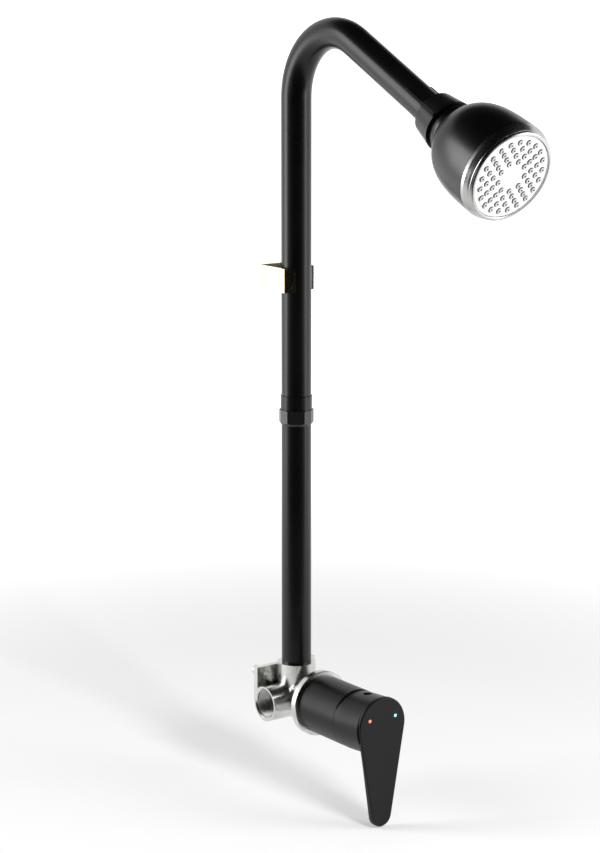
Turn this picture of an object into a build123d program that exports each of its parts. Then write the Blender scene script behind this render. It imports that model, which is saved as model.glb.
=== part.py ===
from build123d import *
import os
from math import asin, cos, radians, sin, sqrt, tan

# Wall mounted outdoor shower in millimetres.
# The origin lies midway between the two wall screw holes, on the wall plane.
# Z is up, the front faces -Y, and "out" below is the distance from the wall.

# Riser and wall distance
tube_radius = 12.5
tube_wall = 1.5
tube_out = 30.0

# Valve body
socket_radius = 16.2
socket_rim = 11.5
socket_depth = 17.0
socket_shoulder = 1.7
mixer_height = -17.1
inlet_drop = 3.6
inlet_radius = 14.9
inlet_reach = 33.5
thread_minor_radius = 12.06
thread_length = 13.1
filter_pocket_depth = 3.0
filter_pocket_radius = 11.7
passage_radius = 8.6
mouth_chamfer = 1.3
port_radius = 3.3
port_spread = 7.5
outlet_port_rise = 8.5
filter_thickness = 1.6
filter_hole_radius = 1.2
filter_rings = ((6, 3.6), (12, 7.2))
web_half = 5.0
ear_half_width = 30.2
ear_top = 6.8
ear_out = 15.0
ear_thickness = 5.0
ear_below_inlet = 3.0
standoff_radius = 4.2
screw_spacing = 41.8
screw_hole_radius = 2.6
hub_radius = 17.5
flare_radius = 16.5
flare_start = 42.0
ring_radius = 27.8
ring_front = 66.2
ring_depth = 5.8
ring_undercut = 2.0
ring_edge = 0.6
riser_seal_depths = (9.5, 13.5)
riser_screw_radius = 2.0
riser_screw_depth = 4.5
riser_screw_sunk = 0.2

# Barrel and cartridge
barrel_radius = 22.0
barrel_front = 93.0
seat_out = 65.0
barrel_bore = 18.0
nut_bore_step = 84.0
nut_thread_radius = 20.0
base_height = 6.0
disc_height = 4.0
carrier_height = 5.5
port_seal_section = 0.8
port_seal_pocket = 1.7
housing_radius = 17.6
housing_top = 97.0
housing_roof = 3.0
housing_neck_top = 104.0
turret_radius = 15.3
turret_gap = 0.4
neck_radius = 11.2
neck_wall = 2.1
neck_front = 105.0
fixed_disc_radius = 14.8
moving_disc_radius = 12.3
mixing_chamber_radius = 7.5
mixing_chamber_depth = 2.0
carrier_radius = 12.6
flange_radius = 19.6
flange_height = 2.5
nut_head_radius = 20.5
nut_head_height = 5.0
nut_head_sides = 12
sleeve_seal_place = 5.0

# Sleeve, cap and lever
sleeve_radius = 24.6
sleeve_wall = 2.2
slit_out = 113.5
pivot_out = 93.5
lift_angle = 22.0
stem_half = 3.8
stem_front = 134.0
stem_square_tail = 5.5
stem_tail_radius = 2.2
stem_slack = 0.6
stem_ball_radius = 3.2
stem_ball_reach = 10.0
pin_radius = 2.0
pin_half_length = 13.0
cap_loft_start = 121.0
cap_rise = 1.8
cap_front_wall = 4.0
slit_corner = 10.5
slit_angle = 17.7
boss_radius = 8.2
boss_start = 118.0
grub_out = 128.8
grub_radius = 2.4
grub_hole_radius = 3.8
plate_front = 148.8
plate_radius = 23.5
plate_rise = 3.4
plate_length = 77.2
tip_radius = 10.1
plate_thickness = 2.8
tip_thickness = 4.8
plate_round = 1.3
dot_radius = 1.5
dot_depth = 1.2
dot_side = 13.1
dot_rise = 9.3
key_width_radius = 1.3
key_depth = 2.0

# Union of the two tubes
nut_bottom = 217.2
nut_top = 230.3
nut_sides = 12
nut_corner_radius = 14.45
nut_turn = 22.0
nut_cone_width = 1.9
nut_cone_height = 2.4
nut_chamfer = 0.6
union_sleeve_radius = 13.2
union_sleeve_top = 242.2
union_sleeve_bottom = 221.0
union_sleeve_chamfer = 0.4
union_seal_height = 1.85
tube_joint = 227.5
joint_gap = 0.5

# Gooseneck
bend_start = 487.3
bend_radius = 53.5
arm_droop = 27.0
ball_along_arm = 138.8
head_tilt = 3.3

# Clip
clip_height = 19.9
clip_level = 339.4
clip_half_width = 17.3
clip_sheet = 2.0
clip_left_depth = 37.0
clip_right_depth = 33.7
clip_flap_length = 9.8
clip_flap_lean = 34.0
clip_hole_radius = 2.6
clip_bend_radius = 1.2
pad_back = 22.0
pad_inset = 0.4

# Collar and ball on the arm
ball_radius = 11.0
stem_radius = 6.5
stem_bore = 4.0
stem_tail = 37.0
stem_seal_place = 4.0
stem_seal_section = 0.85
stem_seal_groove = 1.7
stem_clip_place = 0.1
stem_clip_width = 1.2
stem_clip_groove = 1.0
stem_clip_proud = 2.0
stem_clip_gap = 5.0
regulator_place = 2.0
regulator_thickness = 3.0
regulator_bore = 1.6
collar_back = 29.5
collar_front = 9.0
collar_back_radius = 18.0
collar_front_radius = 21.3
collar_chamfer = 1.5
cup_radius = 20.9
arm_end_back = 24.0
spigot_back = 34.0
rib_angles = (60, 180, 300)
rib_width = 3.0
rib_proud = 1.0
finger_width = 2.0
finger_length = 25.5
finger_proud = 2.0

# Shower head, stations measured back from its face
ball_back = 70.0
neck_sphere = 20.5
neck_opening = 12.5
throat_radius = 9.9
throat_back = 8.0
seat_ring_radius = 14.0
retainer_radius = 16.0
retainer_bore = 7.5
ball_seal_depth = 6.0
retainer_start = 3.0
retainer_height = 6.0
shell_wall = 2.8
head_radius = 39.4
ring_back = 10.0
ring_wall = 2.4
ring_face_step = 4.2
ring_lip_step = 5.9
spigot_wall = 2.3
plate_shoulder = 1.3
face_recess = 1.5
lip_overlap = 0.5
face_thickness = 2.6
field_margin = 2.5
field_raise = 0.7
mat_thickness = 1.5
chamber_thickness = 2.2
chamber_hole_radius = 1.5
chamber_rings = ((8, 13.0), (16, 26.0))
nozzle_first_ring = 12.2
nozzle_ring_step = 5.3
nozzle_counts = (9, 13, 17, 21)
nozzle_radius = 2.45
nozzle_tip_radius = 2.05
nozzle_bore = 0.8
nozzle_proud = 1.2

# Clearances
slide_fit = 0.05
turn_fit = 0.1
stem_side_fit = 0.15
face_fit = 0.2
loose_fit = 0.3
press_gap = 0.02
braze_gap = 0.03
seal_section = 0.9

# Outline of the bell: its width beyond the neck and its length, as shares, front to back
shell_shape = (
    (0.984, 0.130),
    (0.958, 0.309),
    (0.910, 0.455),
    (0.831, 0.585),
    (0.683, 0.715),
    (0.450, 0.829),
    (0.175, 0.911),
)
neck_step = 1.5

# Sizes of the head's front that follow its radius
spigot_radius = head_radius - ring_wall
ring_face_radius = head_radius - ring_face_step
ring_lip_radius = head_radius - ring_lip_step
field_radius = ring_lip_radius - field_margin

# Frames
riser_frame = Plane(origin=(0, -tube_out, 0))
mixer_frame = Plane(origin=(0, 0, mixer_height), x_dir=(1, 0, 0), z_dir=(0, -1, 0))
inlet_height = mixer_height - inlet_drop


def turned(points, frame=Plane.XY):
    """Solid turned about the frame's normal from (radius, height) points."""
    outline = make_face(Polyline([(r, 0, h) for r, h in points], close=True))
    return frame * revolve(outline, Axis.Z)


def disc(radius, start, end, frame=Plane.XY):
    """Round bar along the frame's normal, from one height to another."""
    bar = Cylinder(radius, end - start, align=(Align.CENTER, Align.CENTER, Align.MIN))
    return frame * (Pos(0, 0, start) * bar)


def ring(outer, inner, start, end, frame=Plane.XY):
    """Plain ring along the frame's normal."""
    return disc(outer, start, end, frame) - disc(inner, start - 1, end + 1, frame)


def seal(centre_radius, height, frame, section=seal_section):
    """O-ring about the frame's normal."""
    return frame * (Pos(0, 0, height) * Torus(centre_radius, section))


def block(x_range, y_range, z_range, frame=Plane.XY):
    """Box between two corners in a frame."""
    size = [b - a for a, b in (x_range, y_range, z_range)]
    middle = [(a + b) / 2 for a, b in (x_range, y_range, z_range)]
    return frame * (Pos(*middle) * Box(*size))


def prism(points, start, end, plane):
    """Prism on a closed outline, from one height to another over the plane."""
    face = make_face(Polyline([(x, y, 0) for x, y in points], close=True))
    return plane * (Pos(0, 0, start) * extrude(face, end - start))


# Gooseneck geometry, out and height in the plane through the riser
turn_angle = 90 + arm_droop
bend_end_out = tube_out + bend_radius * (1 - cos(radians(turn_angle)))
bend_end_height = bend_start + bend_radius * sin(radians(turn_angle))
arm_out_step = cos(radians(arm_droop))
arm_down_step = sin(radians(arm_droop))
ball_out = bend_end_out + ball_along_arm * arm_out_step
ball_height = bend_end_height - ball_along_arm * arm_down_step
head_droop = arm_droop - head_tilt
# The arm frame looks back up the arm from the ball, the head frame back from the face.
arm_frame = Plane(
    origin=(0, -ball_out, ball_height),
    x_dir=(1, 0, 0),
    z_dir=(0, arm_out_step, arm_down_step),
)
face_out = ball_out + ball_back * cos(radians(head_droop))
face_height = ball_height - ball_back * sin(radians(head_droop))
head_frame = Plane(
    origin=(0, -face_out, face_height),
    x_dir=(1, 0, 0),
    z_dir=(0, cos(radians(head_droop)), sin(radians(head_droop))),
)

# Places along the mixer, as distances from the wall
fixed_disc_out = seat_out + base_height
moving_disc_out = fixed_disc_out + disc_height
carrier_out = moving_disc_out + disc_height
turret_out = carrier_out + carrier_height + turret_gap
housing_bore = turret_radius + turn_fit
turret_top = housing_top - turn_fit
slide_travel = stem_ball_reach * sin(radians(lift_angle))
disc_offset = slide_travel / 2
slit_sphere = sqrt((slit_out - pivot_out) ** 2 + sleeve_radius**2)
sleeve_bore = sleeve_radius - sleeve_wall
tube_bore = tube_radius - tube_wall
tube_seat = socket_rim - socket_depth


def pivot_ball(radius):
    """Ball about the lever's pivot."""
    return Pos(0, -pivot_out, mixer_height) * Sphere(radius)


def ear_holes():
    """Tools that drill the two wall screw holes."""
    behind = Plane(origin=(0, 0, 0), x_dir=(1, 0, 0), z_dir=(0, -1, 0))
    side = screw_spacing / 2
    hole = disc(screw_hole_radius, -1, ear_out + 1, behind)
    return [Pos(-side, 0, 0) * hole, Pos(side, 0, 0) * hole]


def inlet_frame(side):
    """Frame whose normal points out of one inlet, side -1 is hot and +1 cold."""
    return Plane(origin=(0, -tube_out, inlet_height), x_dir=(0, 1, 0), z_dir=(side, 0, 0))


def valve_body():
    """Cast body with riser socket, two inlets, wall ears and cartridge barrel."""
    ear_bottom = inlet_height - ear_below_inlet
    body = disc(socket_radius, inlet_height, socket_rim, riser_frame)
    body += Pos(0, -tube_out, inlet_height) * Sphere(hub_radius)
    for side in (-1, 1):
        body += disc(inlet_radius, 0, inlet_reach, inlet_frame(side))
    flare = [
        (0, tube_out),
        (flare_radius, tube_out),
        (flare_radius, flare_start),
        (ring_radius - ring_undercut, ring_front - ring_depth),
        (ring_radius, ring_front - ring_depth),
        (ring_radius, ring_front - ring_edge),
        (ring_radius - ring_edge, ring_front),
        (barrel_radius, ring_front),
        (barrel_radius, barrel_front),
        (0, barrel_front),
    ]
    body += turned(flare, mixer_frame)
    plate_back = ear_out - ear_thickness
    body += block((-ear_half_width, ear_half_width), (-ear_out, -plate_back), (ear_bottom, ear_top))
    wall = Plane(origin=(0, 0, 0), x_dir=(1, 0, 0), z_dir=(0, -1, 0))
    for x in (-screw_spacing / 2, screw_spacing / 2):
        body += Pos(x, 0, 0) * disc(standoff_radius, 0, plate_back + 1, wall)
    body += block((-web_half, web_half), (-tube_out, -plate_back), (ear_bottom, ear_top))
    for hole in ear_holes():
        body -= hole
    # Waterways
    body -= disc(tube_radius + slide_fit, tube_seat, socket_rim + 1, riser_frame)
    outlet_height = mixer_height + outlet_port_rise
    body -= disc(tube_bore - socket_shoulder, outlet_height, tube_seat + 1, riser_frame)
    port = disc(port_radius, tube_out, seat_out + 1, mixer_frame)
    body -= Pos(0, 0, outlet_port_rise) * port
    for side in (-1, 1):
        frame = inlet_frame(side)
        thread_end = inlet_reach - thread_length
        body -= disc(thread_minor_radius, thread_end, inlet_reach + 1, frame)
        body -= disc(filter_pocket_radius, thread_end - filter_pocket_depth, inlet_reach, frame)
        body -= turned(
            [
                (0, inlet_reach - mouth_chamfer),
                (thread_minor_radius, inlet_reach - mouth_chamfer),
                (thread_minor_radius + mouth_chamfer, inlet_reach),
                (thread_minor_radius + mouth_chamfer, inlet_reach + 1),
                (0, inlet_reach + 1),
            ],
            frame,
        )
        body -= disc(passage_radius, web_half, inlet_reach, frame)
        body -= Pos(side * port_spread, 0, -port_spread / 2) * port
    # Cartridge seat, nut thread and seal grooves
    body -= disc(barrel_bore, seat_out, barrel_front + 1, mixer_frame)
    body -= disc(nut_thread_radius + slide_fit, nut_bore_step, barrel_front + 1, mixer_frame)
    body -= ring(barrel_radius + 1, groove_floor(), *groove_span(), mixer_frame)
    for height in riser_seal_heights():
        low, high = height - seal_section - slide_fit, height + seal_section + slide_fit
        outer = tube_radius + 2 * (seal_section + slide_fit)
        body -= disc(outer, low, high, riser_frame)
    return body - disc(riser_screw_radius + slide_fit, 0, tube_out, riser_screw_frame())


def riser_seal_heights():
    """Heights of the two O-rings in the socket."""
    return [socket_rim - depth for depth in riser_seal_depths]


def riser_screw_frame():
    """Frame along the socket's rear grub screw."""
    height = socket_rim - riser_screw_depth
    return Plane(origin=(0, -tube_out, height), x_dir=(1, 0, 0), z_dir=(0, 1, 0))


def riser_screw():
    """Grub screw that pins the riser in its socket, from behind."""
    frame = riser_screw_frame()
    head = socket_radius - riser_screw_sunk
    screw = disc(riser_screw_radius, tube_radius + slide_fit, head, frame)
    return screw - disc(riser_screw_radius / 2, head - key_depth, head + 1, frame)


def groove_floor():
    """Radius of the barrel's seal groove floor."""
    return sleeve_bore - 2 * seal_section - 2 * slide_fit


def groove_span():
    """Ends of the barrel's seal groove."""
    start = ring_front + sleeve_seal_place
    return (start, start + 2 * (seal_section + slide_fit))


def sleeve_seal():
    """O-ring that centres and grips the sleeve on the barrel."""
    start, end = groove_span()
    return seal(groove_floor() + slide_fit + seal_section, (start + end) / 2, mixer_frame)


def riser_seals():
    """Two O-rings round the riser's foot."""
    radius = tube_radius + seal_section + slide_fit
    return [seal(radius, height, riser_frame) for height in riser_seal_heights()]


def inlet_filter(side):
    """Round strainer at the bottom of the pocket behind one inlet thread."""
    frame = inlet_frame(side)
    start = inlet_reach - thread_length - filter_pocket_depth
    plate = disc(filter_pocket_radius - slide_fit, start, start + filter_thickness, frame)
    hole = Cylinder(filter_hole_radius, 4 * filter_thickness)
    plate -= frame * (Pos(0, 0, start) * hole)
    for x, y in ring_places(filter_rings):
        plate -= frame * (Pos(x, y, start) * hole)
    return plate


def ring_places(rings):
    """Places on circles, each given as a count and a radius."""
    places = []
    for count, radius in rings:
        for number in range(count):
            angle = radians(360 * number / count)
            places.append((radius * cos(angle), radius * sin(angle)))
    return places


def port_places():
    """Centres of the three ports in the mixer's frame."""
    low = -port_spread / 2
    return ((-port_spread, low), (port_spread, low), (0, outlet_port_rise))


def cartridge_base():
    """Foot of the cartridge with its three ports and their seal pockets."""
    base = disc(barrel_bore - turn_fit, seat_out, fixed_disc_out, mixer_frame)
    for x, y in port_places():
        place = Pos(x, 0, y)
        base -= place * disc(port_radius, seat_out - 1, fixed_disc_out + 1, mixer_frame)
        pocket_end = seat_out + port_seal_pocket
        pocket = disc(port_radius + 2 * seal_section, seat_out - 1, pocket_end, mixer_frame)
        base -= place * pocket
    return base


def base_seals():
    """Three port seals under the cartridge."""
    middle = seat_out + port_seal_pocket / 2
    ring_seal = seal(port_radius + seal_section, middle, mixer_frame, port_seal_section)
    return [Pos(x, 0, y) * ring_seal for x, y in port_places()]


def fixed_disc():
    """Lower ceramic disc."""
    plate = disc(fixed_disc_radius, fixed_disc_out, moving_disc_out, mixer_frame)
    for x, y in port_places():
        plate -= Pos(x, 0, y) * disc(port_radius, fixed_disc_out - 1, moving_disc_out + 1, mixer_frame)
    return plate


def moving_disc():
    """Upper ceramic disc with its mixing chamber."""
    plate = disc(moving_disc_radius, moving_disc_out, carrier_out, mixer_frame)
    deep = moving_disc_out + mixing_chamber_depth
    plate -= disc(mixing_chamber_radius, moving_disc_out - 1, deep, mixer_frame)
    return Pos(0, 0, disc_offset) * plate


def disc_carrier():
    """Slider that ties the upper disc to the stem's ball end."""
    top = carrier_out + carrier_height
    plate = Pos(0, 0, disc_offset) * disc(carrier_radius, carrier_out, top, mixer_frame)
    half = stem_ball_radius + loose_fit + slide_fit
    floor = pivot_out - stem_ball_reach - stem_ball_radius - loose_fit
    return plate - block((-half, half), (-half, half), (floor, top + 1), mixer_frame)


def cartridge_housing():
    """Plastic case of the cartridge, with flange, roof and neck."""
    flange_top = nut_bore_step + flange_height
    neck_bore = neck_radius + turn_fit
    profile = [
        (housing_bore, fixed_disc_out),
        (housing_radius, fixed_disc_out),
        (housing_radius, nut_bore_step),
        (flange_radius, nut_bore_step),
        (flange_radius, flange_top),
        (housing_radius - face_fit, flange_top),
        (housing_radius - face_fit, housing_top + housing_roof),
        (neck_bore + neck_wall, housing_top + housing_roof),
        (neck_bore + neck_wall, housing_neck_top),
        (neck_bore, housing_neck_top),
        (neck_bore, housing_top),
        (housing_bore, housing_top),
    ]
    return turned(profile, mixer_frame)


def retaining_nut():
    """Threaded ring that holds the cartridge in the barrel."""
    start = nut_bore_step + flange_height
    bore = housing_radius + slide_fit
    nut = ring(nut_thread_radius, bore, start, barrel_front, mixer_frame)
    head = extrude(RegularPolygon(nut_head_radius, nut_head_sides), nut_head_height)
    head = mixer_frame * (Pos(0, 0, barrel_front) * head)
    return nut + (head - disc(bore, barrel_front - 1, barrel_front + nut_head_height + 1, mixer_frame))


def turret():
    """Insert that turns in the housing and carries the stem's pin."""
    body = disc(turret_radius, turret_out, turret_top, mixer_frame)
    body += disc(neck_radius, turret_top - 1, neck_front, mixer_frame)
    side = stem_half + stem_side_fit
    tipped = stem_half / cos(radians(lift_angle))
    top = tipped + (neck_front - pivot_out) * tan(radians(lift_angle)) + loose_fit
    low = stem_half + (pivot_out - turret_out) * sin(radians(lift_angle)) + stem_slack
    near = stem_half + stem_slack
    body -= block((-side, side), (-near, top), (pivot_out, neck_front + 1), mixer_frame)
    body -= block((-side, side), (-low, near), (turret_out - 1, pivot_out), mixer_frame)
    return body - disc(pin_radius, -turret_radius, turret_radius, pin_frame())


def pin_frame():
    """Frame along the lever's pivot pin."""
    return Plane(origin=(0, -pivot_out, mixer_height), x_dir=(0, 1, 0), z_dir=(1, 0, 0))


def pivot_pin():
    """Steel pin on which the stem tips."""
    return disc(pin_radius - press_gap, -pin_half_length, pin_half_length, pin_frame())


def spindle():
    """Square stem with its ball end in the disc carrier."""
    ball_out_place = pivot_out - stem_ball_reach
    tail = pivot_out - stem_square_tail
    across = (-stem_half, stem_half)
    stem = block(across, across, (tail, stem_front), mixer_frame)
    stem += disc(stem_tail_radius, ball_out_place, tail + 1, mixer_frame)
    stem += mixer_frame * (Pos(0, 0, ball_out_place) * Sphere(stem_ball_radius))
    return stem - disc(pin_radius + slide_fit, -stem_half - 1, stem_half + 1, pin_frame())


def sleeve():
    """Black cover over the barrel, its front edge rounded about the pivot."""
    tube = ring(sleeve_radius, sleeve_bore, ring_front, slit_out + 6, mixer_frame)
    outside = disc(sleeve_radius + 5, pivot_out, slit_out + 8, mixer_frame) - pivot_ball(slit_sphere)
    return tube - outside


def plate_outline():
    """Teardrop face of the lever plate in the mixer's frame."""
    lean = asin((plate_radius - tip_radius) / plate_length)
    upper = (plate_radius * cos(lean), plate_rise - plate_radius * sin(lean))
    lower = (tip_radius * cos(lean), plate_rise - plate_length - tip_radius * sin(lean))
    corners = [upper, lower, (-lower[0], lower[1]), (-upper[0], upper[1])]
    body = make_face(Polyline(corners, close=True))
    body += Pos(0, plate_rise) * Circle(plate_radius)
    body += Pos(0, plate_rise - plate_length) * Circle(tip_radius)
    return body


def lever_plate():
    """Teardrop plate, thicker towards its tip, with rounded edges."""
    deep = tip_thickness + 0.6
    plate = extrude(plate_outline(), deep)
    plate = fillet(plate.edges().group_by(Axis.Z)[-1], plate_round)
    top = plate_rise + plate_radius + 1
    low = plate_rise - plate_length - tip_radius - 1
    shift = (tip_thickness - plate_thickness) / (plate_length - sleeve_radius)
    back = [
        (top, -5),
        (top, deep - plate_thickness),
        (-sleeve_radius, deep - plate_thickness),
        (low, deep - plate_thickness - shift * (-sleeve_radius - low)),
        (low, -5),
    ]
    side_plane = Plane(origin=(0, 0, 0), x_dir=(0, 1, 0), z_dir=(1, 0, 0))
    plate -= prism(back, -sleeve_radius * 1.5, sleeve_radius * 1.5, side_plane)
    return mixer_frame * (Pos(0, 0, plate_front - deep) * plate)


def cap_body(radius, start, end, rise):
    """Round body that starts coaxial and rises a little towards the plate."""
    straight = disc(radius, start, cap_loft_start, mixer_frame)
    first = Pos(0, 0, cap_loft_start) * Circle(radius)
    last = Pos(0, rise, end) * Circle(radius)
    return straight + mixer_frame * loft([first, last])


def lever():
    """Lever casting: hollow cap with its slit, stem boss and hanging plate."""
    plate_back = plate_front - plate_thickness
    cavity_end = plate_back - cap_front_wall
    share = (cavity_end - cap_loft_start) / (plate_back - cap_loft_start)
    cap = cap_body(sleeve_radius, pivot_out + 5, plate_back + 0.2, cap_rise)
    cap -= cap_body(sleeve_bore, pivot_out, cavity_end, cap_rise * share)
    cap += disc(boss_radius, boss_start, cavity_end + 1, mixer_frame)
    cap -= pivot_ball(slit_sphere + loose_fit)
    wide = (-2 * sleeve_radius, 2 * sleeve_radius)
    cap -= block(wide, wide, (0, pivot_out), mixer_frame)
    # Slit over the upper half
    slit_start = pivot_out + sqrt((slit_sphere + loose_fit) ** 2 - sleeve_radius**2)
    over = sleeve_radius + 6
    slant = (over - slit_corner) * tan(radians(slit_angle))
    slit = [
        (slit_corner, slit_start - 8),
        (slit_corner, slit_start),
        (over, slit_start + slant),
        (over, slit_start - 8),
    ]
    side_plane = Plane(origin=mixer_frame.origin, x_dir=(0, 0, 1), z_dir=(1, 0, 0))
    cap -= prism(slit, -2 * sleeve_radius, 2 * sleeve_radius, side_plane)
    cap += lever_plate()
    socket = stem_half + slide_fit
    across = (-socket, socket)
    cap -= block(across, across, (boss_start - 1, stem_front + stem_slack), mixer_frame)
    cap -= disc(grub_radius + slide_fit, 0, boss_radius + 1, grub_frame())
    cap -= disc(grub_hole_radius, boss_radius + 2, sleeve_radius + 6, grub_frame())
    pocket = disc(dot_radius, plate_front - dot_depth, plate_front + 1, mixer_frame)
    for side in (-1, 1):
        cap -= Pos(side * dot_side, 0, dot_rise) * pocket
    return cap


def grub_frame():
    """Frame up along the lever's grub screw."""
    return Plane(origin=(0, -grub_out, mixer_height))


def grub_screw():
    """Socket set screw that clamps the lever to the stem."""
    top = boss_radius + 1.6
    screw = disc(grub_radius, stem_half + press_gap, top, grub_frame())
    hexagon = extrude(RegularPolygon(key_width_radius, 6), key_depth + 1)
    key = grub_frame() * (Pos(0, 0, top - key_depth) * hexagon)
    return screw - key


def dot(side):
    """Coloured inset on the plate, side -1 is hot and +1 cold."""
    spot = disc(dot_radius - press_gap, plate_front - dot_depth, plate_front + turn_fit, mixer_frame)
    return Pos(side * dot_side, 0, dot_rise) * spot


def lower_tube():
    """Straight riser tube from the valve to the union."""
    return ring(tube_radius, tube_bore, tube_seat, tube_joint, riser_frame)


def upper_tube():
    """Upper tube with its wide bend and sloping arm."""
    start = tube_joint + joint_gap
    arm = ball_along_arm - arm_end_back
    path = Line((0, -tube_out, start), (0, -tube_out, bend_start))
    centre = (0, -tube_out - bend_radius, bend_start)
    middle = radians(turn_angle / 2)
    crest = (0, centre[1] + bend_radius * cos(middle), bend_start + bend_radius * sin(middle))
    arc = ThreePointArc((0, -tube_out, bend_start), crest, (0, -bend_end_out, bend_end_height))
    end = (0, -bend_end_out - arm * arm_out_step, bend_end_height - arm * arm_down_step)
    path = path + arc + Line((0, -bend_end_out, bend_end_height), end)
    section = Plane(origin=(0, -tube_out, start)) * (Circle(tube_radius) - Circle(tube_bore))
    return sweep(section, path=path)


def union_sleeve():
    """Slim sleeve brazed on the upper tube, in which the lower tube ends."""
    bore = tube_radius + braze_gap
    body = ring(union_sleeve_radius, bore, union_sleeve_bottom, union_sleeve_top, riser_frame)
    rim = body.edges().group_by(Axis.Z)[-1].sort_by(SortBy.LENGTH)[-1]
    return chamfer(rim, union_sleeve_chamfer)


def union_nut():
    """Nut that draws the union together."""
    bar = extrude(RegularPolygon(nut_corner_radius, nut_sides), nut_top - nut_bottom)
    nut = riser_frame * (Pos(0, 0, nut_bottom) * (Rot(0, 0, nut_turn) * bar))
    envelope = turned(
        [
            (0, nut_bottom),
            (nut_corner_radius - nut_cone_width, nut_bottom),
            (nut_corner_radius, nut_bottom + nut_cone_height),
            (nut_corner_radius, nut_top - nut_chamfer),
            (nut_corner_radius - nut_chamfer, nut_top),
            (0, nut_top),
        ],
        riser_frame,
    )
    nut = nut & envelope
    nut -= disc(tube_radius + slide_fit, nut_bottom - 1, nut_top + 1, riser_frame)
    pocket = union_sleeve_bottom - union_seal_height - slide_fit
    nut -= disc(union_sleeve_radius + slide_fit, pocket, nut_top + 1, riser_frame)
    return nut


def union_seal():
    """Square seal ring that the nut presses on the lower tube."""
    low = union_sleeve_bottom - union_seal_height
    high = union_sleeve_bottom - slide_fit
    return ring(union_sleeve_radius - slide_fit, tube_radius + braze_gap, low, high, riser_frame)


def clip_outline(inset):
    """Outer or inner line of the clip, seen from above, from right front to flap end."""
    lean = radians(clip_flap_lean)
    along = Vector(cos(lean), -sin(lean))
    inward = Vector(sin(lean), cos(lean)) * inset
    half = clip_half_width - inset
    corner = Vector(-clip_half_width, -clip_left_depth)
    tip = corner + along * clip_flap_length + inward
    shifted = corner + inward
    bend = shifted + along * ((-half - shifted.X) / along.X)
    return [(half, -clip_right_depth), (half, -inset), (-half, -inset), (-half, bend.Y), (tip.X, tip.Y)]


def wall_clip():
    """Bent brass strip that holds the riser to the wall."""
    outline = clip_outline(0) + clip_outline(clip_sheet)[::-1]
    low = clip_level - clip_height / 2
    strip = prism(outline, low, low + clip_height, Plane.XY)
    wall = Plane(origin=(0, 0, clip_level), x_dir=(1, 0, 0), z_dir=(0, -1, 0))
    strip -= disc(clip_hole_radius, -1, clip_sheet + 1, wall)
    corners = [e for e in strip.edges().filter_by(Axis.Z) if e.length > clip_height - 0.1]
    outer = [e for e in corners if abs(e.center().Y) < 0.1]
    return fillet(outer, clip_bend_radius)


def clip_pads():
    """Rubber pads between the clip's walls and the riser."""
    low = clip_level - clip_height / 2 + pad_inset
    high = clip_level + clip_height / 2 - pad_inset
    inner = clip_outline(clip_sheet + braze_gap)
    edge, bend, tip = inner[0][0], inner[3], inner[4]
    lean = radians(clip_flap_lean)
    end = (tip[0] - cos(lean), tip[1] + sin(lean))
    left = [(-edge, -pad_back), bend, end, (0, -tube_out)]
    front = pad_inset - clip_right_depth
    right = [(edge, -pad_back), (edge, front), (0, front), (0, -pad_back)]
    core = disc(tube_radius + braze_gap, low - 1, high + 1, riser_frame)
    return [prism(left, low, high, Plane.XY) - core, prism(right, low, high, Plane.XY) - core]


def collar():
    """Ribbed nut on the arm's end, with a cup for the head and a bore for the stem."""
    profile = [
        (stem_radius + turn_fit, cup_radius - 1),
        (stem_radius + turn_fit, spigot_back),
        (tube_bore - slide_fit, spigot_back),
        (tube_bore - slide_fit, arm_end_back - braze_gap),
        (tube_radius + braze_gap, arm_end_back - braze_gap),
        (tube_radius + braze_gap, collar_back),
        (collar_back_radius - collar_chamfer, collar_back),
        (collar_back_radius, collar_back - collar_chamfer),
        (collar_front_radius, collar_front),
        (0, collar_front),
        (0, cup_radius - 1),
    ]
    body = turned(profile, arm_frame)
    slope = (collar_front_radius - collar_back_radius) / (collar_back - collar_front)
    for angle in rib_angles:
        turn = Rot(0, 0, angle)
        half = rib_width / 2
        rib = prism(
            [
                (collar_front, collar_front_radius - 1.2),
                (collar_front, collar_front_radius + rib_proud - 0.5),
                (collar_front + 1, collar_front_radius + rib_proud - slope),
                (collar_back - 1, collar_back_radius + rib_proud + slope),
                (collar_back, collar_back_radius + rib_proud - 1),
                (collar_back, collar_back_radius - 1.2),
            ],
            -half,
            half,
            Plane(origin=(0, 0, 0), x_dir=(0, 0, 1), z_dir=(1, 0, 0)),
        )
        body += arm_frame * (turn * rib)
        half = finger_width / 2
        finger = prism(
            [
                (collar_back - 1.5, tube_radius + 0.05),
                (collar_back - 1.5, tube_radius + finger_proud + 0.4),
                (collar_back + finger_length - 2, tube_radius + finger_proud),
                (collar_back + finger_length, tube_radius + finger_proud - 1.2),
                (collar_back + finger_length, tube_radius + 0.05),
            ],
            -half,
            half,
            Plane(origin=(0, 0, 0), x_dir=(0, 0, 1), z_dir=(1, 0, 0)),
        )
        body += arm_frame * (turn * finger)
    body -= arm_frame * Sphere(cup_radius)
    body -= disc(stem_radius + turn_fit, 0, spigot_back + 1, arm_frame)
    return body


def swivel_ball():
    """Ball and hollow stem on which the head tips and turns."""
    body = arm_frame * Sphere(ball_radius)
    body += disc(stem_radius, 0, stem_tail, arm_frame)
    body -= disc(stem_bore, -ball_radius - 1, stem_tail + 1, arm_frame)
    body -= ring(stem_radius + 1, stem_radius - stem_seal_groove, *stem_seal_span(), arm_frame)
    body -= ring(stem_radius + 1, stem_radius - stem_clip_groove, *stem_clip_span(), arm_frame)
    return body


def stem_seal_span():
    """Ends of the stem's seal groove."""
    start = cup_radius + stem_seal_place
    return (start, start + 2 * (seal_section + slide_fit))


def stem_clip_span():
    """Ends of the stem's clip groove."""
    start = spigot_back + stem_clip_place
    return (start, start + stem_clip_width)


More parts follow.
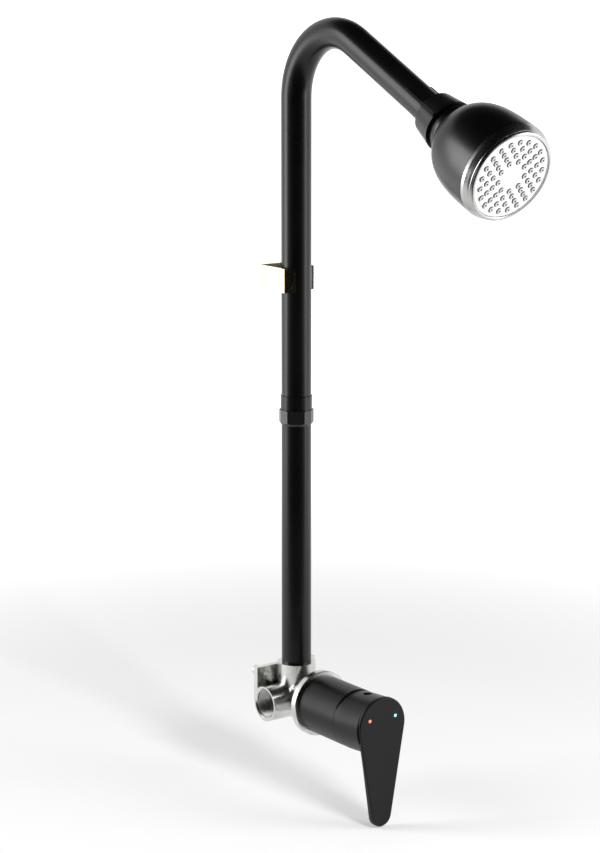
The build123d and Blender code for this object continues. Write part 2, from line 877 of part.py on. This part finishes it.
def stem_seal():
    """O-ring between the stem and the collar."""
    start, end = stem_seal_span()
    radius = stem_radius + turn_fit - press_gap - stem_seal_section
    return seal(radius, (start + end) / 2, arm_frame, stem_seal_section)


def stem_clip():
    """Spring clip that keeps the stem in the collar."""
    start, end = stem_clip_span()
    bore = stem_radius - stem_clip_groove + braze_gap
    outer = stem_radius + stem_clip_proud
    clip = ring(outer, bore, start + slide_fit, end - slide_fit, arm_frame)
    half = stem_clip_gap / 2
    return clip - block((-half, half), (-outer - 1, 0), (start - 1, end + 1), arm_frame)


def flow_regulator():
    """Flow limiting disc in the stem's rear end."""
    back = stem_tail - regulator_place
    front = back - regulator_thickness
    plate = disc(stem_bore - slide_fit, front, back, arm_frame)
    return plate - disc(regulator_bore, front - 1, back + 1, arm_frame)


def shell_line():
    """Outer line of the bell from its front shoulder to the neck, radius and station."""
    width = head_radius - neck_sphere
    length = ball_back + neck_step - ring_back
    line = [(head_radius - turn_fit, ring_back + slide_fit)]
    for wide, far in shell_shape:
        line.append((neck_sphere + wide * width, ring_back + far * length))
    return line + [(neck_sphere, ball_back + neck_step)]


def head_shell():
    """Black bell with its ball socket and the spigot for the front ring."""
    line = [(r, 0, s) for r, s in shell_line()]
    outer = Spline(line, tangents=[(0, 0, 1), (0, 0, 1)])
    start, end = line[0], line[-1]
    top = ball_back + neck_sphere
    closing = Polyline([end, (neck_sphere, 0, top), (0, 0, top), (0, 0, start[2]), start])
    bell = revolve(make_face([*outer.edges(), *closing.edges()]), Axis.Z)
    round_neck = Pos(0, 0, ball_back) * Sphere(neck_sphere)
    bell -= disc(neck_sphere + 1, ball_back, top + 1) - round_neck
    spigot_front = face_back() + turn_fit
    bell += disc(spigot_radius, spigot_front, ring_back + 1)
    # Cavity, with a shoulder for the chamber plate
    inner = [(r - shell_wall, 0, s) for r, s in shell_line()[1:7]]
    shoulder = chamber_back() + slide_fit
    cavity_line = Spline(inner, tangents=[(0, 0, 1), (-1, 0, 1)])
    bore = spigot_radius - spigot_wall
    ledge = bore - plate_shoulder
    rest = Polyline(
        [
            inner[-1],
            (0, 0, inner[-1][2]),
            (0, 0, shoulder),
            (ledge, 0, shoulder),
            (ledge, 0, ring_back + 2),
            inner[0],
        ]
    )
    bell -= revolve(make_face([*cavity_line.edges(), *rest.edges()]), Axis.Z)
    bell -= disc(bore, spigot_front - 1, shoulder)
    # Ball socket
    bell -= disc(seat_ring_radius + slide_fit, shoulder, ball_back + throat_back)
    bell -= disc(retainer_radius + slide_fit, shoulder, ball_back - retainer_start)
    opening_back = sqrt(neck_sphere**2 - neck_opening**2)
    bell -= turned(
        [
            (0, ball_back + throat_back - 1),
            (throat_radius, ball_back + throat_back - 1),
            (throat_radius, ball_back + throat_back + 0.5),
            (neck_opening, ball_back + opening_back),
            (neck_opening, ball_back + neck_sphere + 1),
            (0, ball_back + neck_sphere + 1),
        ]
    )
    return head_frame * bell


def chamber_back():
    """Station of the chamber plate's rear face."""
    return face_back() + mat_thickness + chamber_thickness


def ring_lip_back():
    """Station of the rear of the ring's lip."""
    return face_recess + lip_overlap


def face_back():
    """Station of the face plate's rear."""
    return face_recess + face_thickness


def head_ring():
    """Satin ring that screws over the bell and holds the face."""
    lip = ring_lip_back()
    profile = [
        (ring_lip_radius, 0.3),
        (ring_lip_radius + 0.4, 0),
        (ring_face_radius, 0),
        (ring_face_radius + 0.9, 0.5),
        (head_radius - 1.5, 4.2),
        (head_radius - 0.4, 7.2),
        (head_radius, ring_back - 0.4),
        (head_radius - 0.3, ring_back),
        (spigot_radius + slide_fit, ring_back),
        (spigot_radius + slide_fit, lip),
        (ring_lip_radius, lip),
    ]
    return turned(profile, head_frame)


def nozzle_places():
    """Centres of the nozzles on the face."""
    places = []
    for index, count in enumerate(nozzle_counts):
        radius = nozzle_first_ring + index * nozzle_ring_step
        for i in range(count):
            angle = radians(360 * (i + 0.5 * (index % 2)) / count)
            places.append((radius * cos(angle), radius * sin(angle)))
    return places


def face_plate():
    """Pale face with its raised field and a hole for every nozzle."""
    start = face_recess
    back = face_back()
    shoulder = ring_lip_back() + face_fit
    profile = [
        (0, start - field_raise),
        (field_radius - 0.7, start - field_raise),
        (field_radius, start),
        (ring_lip_radius - face_fit, start),
        (ring_lip_radius - face_fit, shoulder),
        (spigot_radius - turn_fit, shoulder),
        (spigot_radius - turn_fit, back),
        (0, back),
    ]
    plate = turned(profile)
    hole = Cylinder(nozzle_radius + slide_fit, 4 * face_thickness)
    holes = [Pos(x, y, start) * hole for x, y in nozzle_places()]
    return head_frame * (plate - holes)


def nozzle_mat():
    """Soft mat behind the face, with all its nozzles."""
    start = face_back()
    radius = spigot_radius - spigot_wall - turn_fit
    mat = disc(radius, start + 0.02, start + mat_thickness)
    tip = face_recess - field_raise - nozzle_proud
    nozzle = turned(
        [
            (0, tip),
            (nozzle_tip_radius - 0.3, tip),
            (nozzle_tip_radius, tip + 0.3),
            (nozzle_radius, tip + nozzle_proud - 0.1),
            (nozzle_radius, start + 0.5),
            (0, start + 0.5),
        ]
    )
    bore = Cylinder(nozzle_bore, 4 * (start + mat_thickness))
    mat += [Pos(x, y, 0) * nozzle for x, y in nozzle_places()]
    mat -= [Pos(x, y, start) * bore for x, y in nozzle_places()]
    return head_frame * mat


def chamber_plate():
    """Plate behind the mat that spreads the water."""
    start = face_back() + mat_thickness
    radius = spigot_radius - spigot_wall - turn_fit
    plate = disc(radius, start + 0.02, start + chamber_thickness)
    hole = Cylinder(chamber_hole_radius, 4 * chamber_thickness)
    holes = [Pos(x, y, start) * hole for x, y in ring_places(chamber_rings)]
    return head_frame * (plate - holes)


def ball_seat():
    """Plastic ring that the ball bears on from behind."""
    back = ball_back + throat_back - slide_fit
    front = ball_back - retainer_start + slide_fit
    body = disc(seat_ring_radius, front, back)
    body -= Pos(0, 0, ball_back) * Sphere(ball_radius + turn_fit)
    body -= disc(throat_radius - loose_fit, front - 1, back + 1)
    return head_frame * body


def ball_retainer():
    """Threaded ring that closes the ball's socket, with a groove for its seal."""
    back = ball_back - retainer_start - slide_fit
    front = ball_back - retainer_start - retainer_height
    body = disc(retainer_radius, front, back)
    body -= Pos(0, 0, ball_back) * Sphere(ball_radius + turn_fit)
    body -= disc(retainer_bore, front - 1, back + 1)
    body -= ball_seal_at(seal_section + slide_fit)
    return head_frame * body


def ball_seal_at(section):
    """O-ring against the front of the ball."""
    reach = ball_radius + turn_fit + seal_section
    radius = sqrt(reach**2 - ball_seal_depth**2)
    return Pos(0, 0, ball_back - ball_seal_depth) * Torus(radius, section)


def ball_seal():
    """Seal between the ball and its retainer."""
    return head_frame * ball_seal_at(seal_section)


def save(name, shape):
    """Writes one node, whose solids may be a list."""
    solids = shape if isinstance(shape, list) else [shape]
    parts = [s for item in solids for s in item.solids()]
    export_step(parts[0] if len(parts) == 1 else Compound(children=parts), f"parts/{name}.step")


nodes = {
    "valve_body": valve_body,
    "riser_screw": riser_screw,
    "riser_seals": riser_seals,
    "sleeve_seal": sleeve_seal,
    "inlet_filter_hot": lambda: inlet_filter(-1),
    "inlet_filter_cold": lambda: inlet_filter(1),
    "cartridge_base": cartridge_base,
    "base_seals": base_seals,
    "fixed_disc": fixed_disc,
    "moving_disc": moving_disc,
    "disc_carrier": disc_carrier,
    "cartridge_housing": cartridge_housing,
    "retaining_nut": retaining_nut,
    "turret": turret,
    "pivot_pin": pivot_pin,
    "spindle": spindle,
    "sleeve": sleeve,
    "lever": lever,
    "grub_screw": grub_screw,
    "hot_dot": lambda: dot(-1),
    "cold_dot": lambda: dot(1),
    "lower_tube": lower_tube,
    "upper_tube": upper_tube,
    "union_sleeve": union_sleeve,
    "union_nut": union_nut,
    "union_seal": union_seal,
    "wall_clip": wall_clip,
    "clip_pads": clip_pads,
    "collar": collar,
    "swivel_ball": swivel_ball,
    "stem_seal": stem_seal,
    "stem_clip": stem_clip,
    "flow_regulator": flow_regulator,
    "head_shell": head_shell,
    "head_ring": head_ring,
    "face_plate": face_plate,
    "nozzle_mat": nozzle_mat,
    "chamber_plate": chamber_plate,
    "ball_seat": ball_seat,
    "ball_retainer": ball_retainer,
    "ball_seal": ball_seal,
}

os.makedirs("parts", exist_ok=True)
for name, make in nodes.items():
    save(name, make())
print("ball at", round(-ball_out, 3), round(ball_height, 3))
print("face at", round(-face_out, 3), round(face_height, 3))
print("pivot at", -pivot_out, mixer_height, "slide", round(slide_travel, 3))
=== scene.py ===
from math import cos, pi, radians, sin

import bpy
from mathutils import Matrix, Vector


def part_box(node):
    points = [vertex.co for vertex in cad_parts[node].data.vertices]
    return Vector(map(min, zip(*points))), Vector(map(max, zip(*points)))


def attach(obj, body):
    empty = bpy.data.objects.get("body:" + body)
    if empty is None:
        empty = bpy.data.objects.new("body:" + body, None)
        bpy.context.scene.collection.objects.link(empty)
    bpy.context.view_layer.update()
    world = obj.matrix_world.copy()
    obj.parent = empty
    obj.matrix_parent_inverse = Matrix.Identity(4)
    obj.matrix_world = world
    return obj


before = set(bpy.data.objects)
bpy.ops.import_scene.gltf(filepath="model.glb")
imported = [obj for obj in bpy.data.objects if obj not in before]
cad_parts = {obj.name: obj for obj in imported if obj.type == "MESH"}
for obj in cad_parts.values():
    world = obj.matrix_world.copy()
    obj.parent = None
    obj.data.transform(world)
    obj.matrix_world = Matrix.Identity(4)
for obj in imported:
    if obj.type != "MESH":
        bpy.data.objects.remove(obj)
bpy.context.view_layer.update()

bpy.ops.object.select_all(action="DESELECT")

# Valve body.
# One brass casting with the riser socket, two threaded inlets, wall ears and the cartridge barrel.
# It is blasted after casting, nickel plated and left bright, so it is satin silver with a fine grain.


def noise_group(name, detail, contrast_low, contrast_high):
    """Node group with a noise mask on a vector, its size set by the Scale input."""
    group = bpy.data.node_groups.new(name, "ShaderNodeTree")
    group.interface.new_socket("Vector", in_out="INPUT", socket_type="NodeSocketVector")
    group.interface.new_socket("Scale", in_out="INPUT", socket_type="NodeSocketFloat")
    group.interface.new_socket("Mask", in_out="OUTPUT", socket_type="NodeSocketFloat")
    nodes, links = group.nodes, group.links
    enter, leave = nodes.new("NodeGroupInput"), nodes.new("NodeGroupOutput")
    noise = nodes.new("ShaderNodeTexNoise")
    noise.inputs["Detail"].default_value = detail
    stretch = nodes.new("ShaderNodeMapRange")
    stretch.inputs["From Min"].default_value = contrast_low
    stretch.inputs["From Max"].default_value = contrast_high
    links.new(enter.outputs["Vector"], noise.inputs["Vector"])
    links.new(enter.outputs["Scale"], noise.inputs["Scale"])
    links.new(noise.outputs["Fac"], stretch.inputs["Value"])
    links.new(stretch.outputs["Result"], leave.inputs["Mask"])
    return group


grain_group = noise_group("surface_grain", 3.0, 0.3, 0.7)
smudge_group = noise_group("handling_smudges", 5.0, 0.42, 0.68)
mask_share = 0.5


def grey(level):
    """Neutral colour."""
    return (level, level, level)


def finish(name, tone, worn_tone, rough, grain_size, grain_depth, metallic=0.0, specular=0.5,
           spread=0.06, smudge_size=0.03, stretch=(1, 1, 1)):
    """Surface with a fine grain in its relief and soft smudges in colour and gloss, sizes in metres."""
    material = bpy.data.materials.new(name)
    material.use_nodes = True
    nodes, links = material.node_tree.nodes, material.node_tree.links
    shader = nodes["Principled BSDF"]
    shader.inputs["Metallic"].default_value = metallic
    shader.inputs["Specular IOR Level"].default_value = specular
    place = nodes.new("ShaderNodeTexCoord")
    stretched = nodes.new("ShaderNodeMapping")
    stretched.vector_type = "TEXTURE"
    stretched.inputs["Scale"].default_value = stretch
    links.new(place.outputs["Object"], stretched.inputs["Vector"])
    grain, smudges = nodes.new("ShaderNodeGroup"), nodes.new("ShaderNodeGroup")
    grain.node_tree, smudges.node_tree = grain_group, smudge_group
    grain.inputs["Scale"].default_value = 1 / grain_size
    smudges.inputs["Scale"].default_value = 1 / smudge_size
    links.new(stretched.outputs["Vector"], grain.inputs["Vector"])
    links.new(place.outputs["Object"], smudges.inputs["Vector"])
    colour = nodes.new("ShaderNodeMix")
    colour.data_type = "RGBA"
    colour.inputs["A"].default_value = (*tone, 1)
    colour.inputs["B"].default_value = (*worn_tone, 1)
    links.new(smudges.outputs["Mask"], colour.inputs["Factor"])
    links.new(colour.outputs["Result"], shader.inputs["Base Color"])
    both, half = nodes.new("ShaderNodeMath"), nodes.new("ShaderNodeMath")
    both.operation, half.operation = "MULTIPLY_ADD", "MULTIPLY"
    both.inputs[1].default_value = half.inputs[1].default_value = mask_share
    links.new(grain.outputs["Mask"], both.inputs[0])
    links.new(smudges.outputs["Mask"], half.inputs[0])
    links.new(half.outputs["Value"], both.inputs[2])
    gloss = nodes.new("ShaderNodeMapRange")
    gloss.inputs["To Min"].default_value = rough - spread
    gloss.inputs["To Max"].default_value = rough + spread
    links.new(both.outputs["Value"], gloss.inputs["Value"])
    links.new(gloss.outputs["Result"], shader.inputs["Roughness"])
    relief = nodes.new("ShaderNodeBump")
    relief.inputs["Strength"].default_value = 1.0
    relief.inputs["Distance"].default_value = grain_depth
    links.new(grain.outputs["Mask"], relief.inputs["Height"])
    links.new(relief.outputs["Normal"], shader.inputs["Normal"])
    return material


def dress(material, *names):
    """Puts a material on CAD nodes."""
    for name in names:
        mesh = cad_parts[name].data
        mesh.materials.clear()
        mesh.materials.append(material)


nickel_casting = finish("satin_nickel_casting", (0.68, 0.68, 0.66), (0.58, 0.58, 0.56), 0.27,
                        0.00035, 0.000008, metallic=1.0, smudge_size=0.02)
dress(nickel_casting, "valve_body")

# Inlet threads.
# Both mouths carry a right-hand pipe thread, cut in the brass after casting.
# Each is a ridge that winds along the bore, from the strainer's pocket to the chamfer.
thread_pitch = 0.001814
thread_turns = 6
thread_root = 0.01225
thread_crest = 0.0115
thread_start = 0.0206
base_share = 0.42
crest_share = 0.15
steps_per_turn = 48
weld_distance = 0.000001
inlet_low, inlet_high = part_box("inlet_filter_cold")
inlet_y = (inlet_low.y + inlet_high.y) / 2
inlet_z = (inlet_low.z + inlet_high.z) / 2


def settle(piece):
    """Moves a piece's place into its mesh, so its object sits at the origin."""
    bpy.ops.object.select_all(action="DESELECT")
    piece.select_set(True)
    bpy.context.view_layer.objects.active = piece
    bpy.ops.object.transform_apply(location=True, rotation=True, scale=True)


def apply_modifier(piece, modifier):
    """Applies one modifier to a piece."""
    bpy.context.view_layer.objects.active = piece
    bpy.ops.object.modifier_apply(modifier=modifier.name)


def wound_thread(name, side):
    """Thread ridge of one inlet, wound about X, side -1 is the hot one."""
    half_base = thread_pitch * base_share
    half_crest = half_base * crest_share
    bpy.ops.mesh.primitive_plane_add(size=1, location=(0, 0, 0))
    ridge = bpy.context.object
    ridge.name = name
    corners = ((thread_root, -half_base), (thread_root, half_base),
               (thread_crest, -half_crest), (thread_crest, half_crest))
    places = ((-0.5, -0.5), (-0.5, 0.5), (0.5, -0.5), (0.5, 0.5))
    for vertex in ridge.data.vertices:
        index = places.index((round(vertex.co.x, 1), round(vertex.co.y, 1)))
        vertex.co = (corners[index][0], 0, corners[index][1])
    winding = ridge.modifiers.new("winding", "SCREW")
    winding.angle = 2 * pi * thread_turns
    winding.screw_offset = thread_pitch * thread_turns
    winding.steps = winding.render_steps = steps_per_turn * thread_turns
    apply_modifier(ridge, winding)
    bpy.ops.object.mode_set(mode="EDIT")
    bpy.ops.mesh.select_all(action="SELECT")
    bpy.ops.mesh.remove_doubles(threshold=weld_distance)
    bpy.ops.mesh.normals_make_consistent(inside=False)
    bpy.ops.object.mode_set(mode="OBJECT")
    ridge.rotation_euler = (0, side * pi / 2, 0)
    ridge.location = (side * thread_start, inlet_y, inlet_z)
    settle(ridge)
    ridge.data.materials.append(cut_nickel)
    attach(ridge, "fixed")


cut_nickel = finish("cut_nickel", (0.55, 0.54, 0.52), (0.45, 0.44, 0.42), 0.32, 0.0005, 0.00001,
                    metallic=1.0)
wound_thread("inlet_thread_hot", -1)
wound_thread("inlet_thread_cold", 1)

# Strainers, riser screw and seals.
# The strainers are punched stainless discs behind each thread, and a grub screw pins the riser.
# The seals are black nitrile rings, moulded and left dull.
stainless = finish("stainless_sheet", grey(0.5), grey(0.42), 0.35, 0.0004, 0.000008, metallic=1.0)
nitrile = finish("black_nitrile", grey(0.02), grey(0.035), 0.6, 0.0006, 0.00001)
dress(stainless, "inlet_filter_hot", "inlet_filter_cold", "riser_screw")
dress(nitrile, "riser_seals", "sleeve_seal")

# Cartridge.
# A plastic case holds two ceramic discs, and its turning insert carries the lever's stem on a steel pin.
# The brass nut screws into the barrel and clamps the case on its three port seals.
case_plastic = finish("white_acetal", (0.82, 0.82, 0.8), (0.76, 0.76, 0.74), 0.4, 0.0008, 0.00001)
disc_ceramic = finish("lapped_ceramic", (0.86, 0.85, 0.82), (0.8, 0.79, 0.76), 0.14, 0.0005, 0.000002)
turned_brass = finish("turned_brass", (0.7, 0.55, 0.28), (0.6, 0.46, 0.22), 0.28, 0.0006, 0.000008,
                      metallic=1.0, stretch=(1, 0.05, 1))
dress(case_plastic, "cartridge_base", "cartridge_housing", "turret", "disc_carrier")
dress(disc_ceramic, "fixed_disc", "moving_disc")
dress(nitrile, "base_seals")
dress(turned_brass, "retaining_nut", "spindle")
dress(stainless, "pivot_pin")

# Sleeve and lever.
# The sleeve is a turned cover, and the lever a casting of hollow cap, wedge slit and teardrop plate.
# Both are coated in fine matt black, a touch lighter than the tube.
lever_black = finish("matt_black_coat", (0.003, 0.003, 0.0029), (0.0045, 0.0045, 0.0043), 0.38,
                     0.0007, 0.000004, specular=0.24, spread=0.03, smudge_size=0.05)
dress(lever_black, "sleeve", "lever")

# Lever screw and hot and cold dots.
# The hex socket screw clamps the lever on its stem, down a round hole in the cap's top.
# The dots are small domed insets of clear red and blue enamel.
red_enamel = finish("red_enamel", (0.95, 0.3, 0.2), (0.85, 0.22, 0.14), 0.2, 0.0006, 0.000004)
blue_enamel = finish("blue_enamel", (0.34, 0.8, 0.82), (0.26, 0.7, 0.74), 0.2, 0.0006, 0.000004)
dress(stainless, "grub_screw")
dress(red_enamel, "hot_dot")
dress(blue_enamel, "cold_dot")

# Riser tubes.
# Two lengths of drawn steel tube, the upper one bent to the gooseneck, powder coated matt black.
# The coat has a faint orange peel and shows two long soft highlights.
tube_black = finish("powder_coated_tube", grey(0.002), grey(0.003), 0.3, 0.0012, 0.000004,
                    specular=0.3, spread=0.03, smudge_size=0.06)
dress(tube_black, "lower_tube", "upper_tube", "union_sleeve")

# Union nut.
# A twelve-sided brass nut draws the two tubes together over a square seal ring.
# It is coated with the tubes, and its facets catch the light in turn.
nut_black = finish("coated_union_nut", grey(0.004), grey(0.006), 0.32, 0.0009, 0.000004)
dress(nut_black, "union_nut")
dress(nitrile, "union_seal")

# Wall clip.
# A strip of pale brass sheet, bent round the riser and screwed to the wall through its back.
# Black rubber pads grip the tube, and a bent flap closes the left side.
clip_brass = finish("brushed_pale_brass", (0.86, 0.76, 0.5), (0.76, 0.66, 0.42), 0.26, 0.0004, 0.000006,
                    metallic=1.0, stretch=(8, 8, 1))
dress(clip_brass, "wall_clip")
dress(nitrile, "clip_pads")

# Arm collar.
# A moulded nut closes the arm's end, flared towards the head, its three ribs run on as slim fingers.
# It is satin black plastic, a little glossier than the tube's coat.
moulded_black = finish("moulded_black_plastic", grey(0.0015), grey(0.0025), 0.3, 0.0009, 0.000004,
                       specular=0.42, spread=0.03)
dress(moulded_black, "collar")

# Swivel ball.
# The head tips and turns on a nickel plated brass ball, whose hollow stem is clipped in the collar.
# A seal ring, a spring clip and a flow limiting disc sit on and in the stem.
dress(nickel_casting, "swivel_ball")
dress(nitrile, "stem_seal", "ball_seal")
dress(stainless, "stem_clip")
dress(case_plastic, "flow_regulator", "ball_seat", "ball_retainer", "chamber_plate")

# Head.
# A moulded black bell, a satin silver ring over its front, and a pale face with sixty soft nozzles.
# The ring is plated plastic and its brushing runs round the rim.
head_place = (0, -0.295557, 0.443819)
head_turn = (radians(-66.3), 0, 0)
nozzle_side = -0.00005
nozzle_top = -0.00035
ring_silver = finish("satin_plated_ring", (0.56, 0.56, 0.55), (0.48, 0.48, 0.47), 0.3, 0.0005, 0.000004,
                     metallic=1.0)
face_pale = finish("pale_face", grey(0.86), grey(0.78), 0.32, 0.0009, 0.00001)
nozzle_grey = finish("grey_silicone", grey(0.1), grey(0.07), 0.35, 0.0008, 0.000006)
# Paler grey painted on the nozzle tips as their highlight.
tip_highlight_tone = grey(0.5)


def paint_tip_highlights(material):
    """Paints a highlight on the flat tips of the nozzles, along the head's own axis, while their flanks
    stay dark.
    """
    nodes, links = material.node_tree.nodes, material.node_tree.links
    shader = nodes["Principled BSDF"]
    place = nodes.new("ShaderNodeTexCoord")
    along = nodes.new("ShaderNodeMapping")
    along.vector_type = "TEXTURE"
    along.inputs["Location"].default_value = head_place
    along.inputs["Rotation"].default_value = head_turn
    split = nodes.new("ShaderNodeSeparateXYZ")
    tip = nodes.new("ShaderNodeMapRange")
    tip.inputs["From Min"].default_value = nozzle_side
    tip.inputs["From Max"].default_value = nozzle_top
    pale = nodes.new("ShaderNodeMix")
    pale.data_type = "RGBA"
    pale.inputs["B"].default_value = (*tip_highlight_tone, 1)
    flank = shader.inputs["Base Color"].links[0].from_socket
    links.new(place.outputs["Object"], along.inputs["Vector"])
    links.new(along.outputs["Vector"], split.inputs["Vector"])
    links.new(split.outputs["Z"], tip.inputs["Value"])
    links.new(tip.outputs["Result"], pale.inputs["Factor"])
    links.new(flank, pale.inputs["A"])
    links.new(pale.outputs["Result"], shader.inputs["Base Color"])


# The nozzle tips get a painted highlight.
paint_tip_highlights(nozzle_grey)
dress(moulded_black, "head_shell")
dress(ring_silver, "head_ring")
dress(face_pale, "face_plate")
dress(nozzle_grey, "nozzle_mat")

# Camera.
# It stands to the left of the shower and a little above its middle, and looks slightly down.
camera_azimuth = radians(-36.3)
camera_elevation = radians(11.64)
camera_distance = 1.977
aim = Vector((0.0024, -0.0318, 0.215))
camera_back = Vector((
    sin(camera_azimuth) * cos(camera_elevation),
    -cos(camera_azimuth) * cos(camera_elevation),
    sin(camera_elevation),
))
camera_data = bpy.data.cameras.new("camera")
camera_data.lens = 100
camera_data.sensor_width = 36
camera = bpy.data.objects.new("camera", camera_data)
camera.location = aim + camera_back * camera_distance
camera.rotation_euler = (pi / 2 - camera_elevation, 0, camera_azimuth)
bpy.context.scene.collection.objects.link(camera)
bpy.context.scene.camera = camera

# Floor.
# A plain pale floor just under the lever's tip.
# It keeps the object's shadow, and further out it turns white.
floor_gap = 0.0012
floor_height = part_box("lever")[0].z - floor_gap
floor_size = 60
shadow_reach = 0.35
white_reach = 1.6
near_lift = 0.17
far_lift = 1.15
bpy.ops.mesh.primitive_plane_add(size=floor_size, location=(0, 0, 0))
floor = bpy.context.object
floor.name = "floor"
floor.location.z = floor_height
floor_paint = bpy.data.materials.new("pale_floor")
floor_paint.use_nodes = True
floor_nodes, floor_links = floor_paint.node_tree.nodes, floor_paint.node_tree.links
floor_shader = floor_nodes["Principled BSDF"]
floor_shader.inputs["Base Color"].default_value = (*grey(0.8), 1)
floor_shader.inputs["Roughness"].default_value = 0.9
floor_shader.inputs["Specular IOR Level"].default_value = 0.1
floor_shader.inputs["Emission Color"].default_value = (1, 1, 1, 1)


def seen_by_eye_or_mirror(nodes, links):
    """Value that is 1 for camera, glossy and transmission rays."""
    ray = nodes.new("ShaderNodeLightPath")
    pair, all_three = nodes.new("ShaderNodeMath"), nodes.new("ShaderNodeMath")
    pair.operation = all_three.operation = "MAXIMUM"
    links.new(ray.outputs["Is Camera Ray"], pair.inputs[0])
    links.new(ray.outputs["Is Glossy Ray"], pair.inputs[1])
    links.new(pair.outputs["Value"], all_three.inputs[0])
    links.new(ray.outputs["Is Transmission Ray"], all_three.inputs[1])
    return all_three.outputs["Value"]


floor_spot = floor_nodes.new("ShaderNodeTexCoord")
from_riser = floor_nodes.new("ShaderNodeVectorMath")
from_riser.operation = "LENGTH"
lift = floor_nodes.new("ShaderNodeMapRange")
lift.interpolation_type = "SMOOTHSTEP"
lift.inputs["From Min"].default_value = shadow_reach
lift.inputs["From Max"].default_value = white_reach
lift.inputs["To Min"].default_value = near_lift
lift.inputs["To Max"].default_value = far_lift
glow = floor_nodes.new("ShaderNodeMath")
glow.operation = "MULTIPLY"
floor_links.new(floor_spot.outputs["Object"], from_riser.inputs[0])
floor_links.new(from_riser.outputs["Value"], lift.inputs["Value"])
floor_links.new(lift.outputs["Result"], glow.inputs[0])
floor_links.new(seen_by_eye_or_mirror(floor_nodes, floor_links), glow.inputs[1])
floor_links.new(glow.outputs["Value"], floor_shader.inputs["Emission Strength"])
floor.data.materials.append(floor_paint)

# Background.
# White to the camera and in reflections, and a plain soft level of light for the object itself.
world = bpy.data.worlds.new("studio")
bpy.context.scene.world = world
world.use_nodes = True
world_nodes, world_links = world.node_tree.nodes, world.node_tree.links
ambient = world_nodes["Background"]
ambient.inputs["Color"].default_value = (1, 1, 1, 1)
ambient.inputs["Strength"].default_value = 0.4
white = world_nodes.new("ShaderNodeBackground")
white.inputs["Color"].default_value = (1, 1, 1, 1)
white.inputs["Strength"].default_value = 1.0
blend = world_nodes.new("ShaderNodeMixShader")
world_links.new(seen_by_eye_or_mirror(world_nodes, world_links), blend.inputs["Fac"])
world_links.new(ambient.outputs["Background"], blend.inputs[1])
world_links.new(white.outputs["Background"], blend.inputs[2])
world_links.new(blend.outputs["Shader"], world_nodes["World Output"].inputs["Surface"])
bpy.context.scene.view_settings.view_transform = "Standard"

# Lamps and flags.
# Tall soft boxes stand at the left rear and the right front, and a small key in front throws the shadow.
# Black cards in front and above, seen only in reflections, keep the middle of each black surface dark.


def round_place(azimuth, distance, height):
    """Place round the riser, azimuth in degrees from the front towards the right."""
    angle = radians(azimuth)
    return Vector((sin(angle) * distance, -cos(angle) * distance, height))


def aim_at(thing, target):
    """Turns an object so that its -Z looks at a point."""
    thing.rotation_euler = (target - thing.location).to_track_quat("-Z", "Y").to_euler()


def soft_box(name, azimuth, distance, height, width, tall, radiance):
    """Rectangular area lamp aimed at the middle of the riser."""
    data = bpy.data.lights.new(name, "AREA")
    data.shape = "RECTANGLE"
    data.size = width
    data.size_y = tall
    data.energy = radiance * width * tall * pi
    box = bpy.data.objects.new(name, data)
    box.location = round_place(azimuth, distance, height)
    aim_at(box, box_target)
    bpy.context.scene.collection.objects.link(box)
    return box


def black_card(name, azimuth, distance, height, width, tall, lying=False):
    """Black card that only reflections see, standing upright or lying on the floor."""
    bpy.ops.mesh.primitive_plane_add(size=1)
    card = bpy.context.object
    card.name = name
    card.scale = (width, tall, 1)
    card.location = round_place(azimuth, distance, height)
    if lying:
        card.rotation_euler = (0, 0, radians(azimuth))
    else:
        aim_at(card, Vector((0, 0, height)))
    card.data.materials.append(card_black)
    card.visible_camera = False
    card.visible_diffuse = False
    card.visible_shadow = False
    card.visible_transmission = False


box_target = Vector((0, -0.05, 0.2))
first_card = -96
card_step = 30
card_count = 5
card_gap = 0.002
card_black = bpy.data.materials.new("card_black")
card_black.use_nodes = True
card_shader = card_black.node_tree.nodes["Principled BSDF"]
card_shader.inputs["Base Color"].default_value = (*grey(0.002), 1)
card_shader.inputs["Specular IOR Level"].default_value = 0
soft_box("left_box", -122, 1.7, 0.55, 0.8, 1.6, 6.0)
soft_box("right_box", 38, 1.7, 0.6, 0.7, 1.6, 3.6)
shadow_key = soft_box("shadow_key", -5, 1.9, 1.05, 0.45, 0.45, 42.0)
shadow_key.visible_glossy = False
for number in range(card_count):
    black_card(f"standing_card_{number}", first_card + number * card_step, 3.2, 1.4, 1.75, 3.4)
black_card("lying_card", -36.3, 1.85, floor_height + card_gap, 3.4, 2.9, lying=True)
black_card("ceiling_card", 0, 0.5, 2.7, 7.0, 6.0, lying=True)
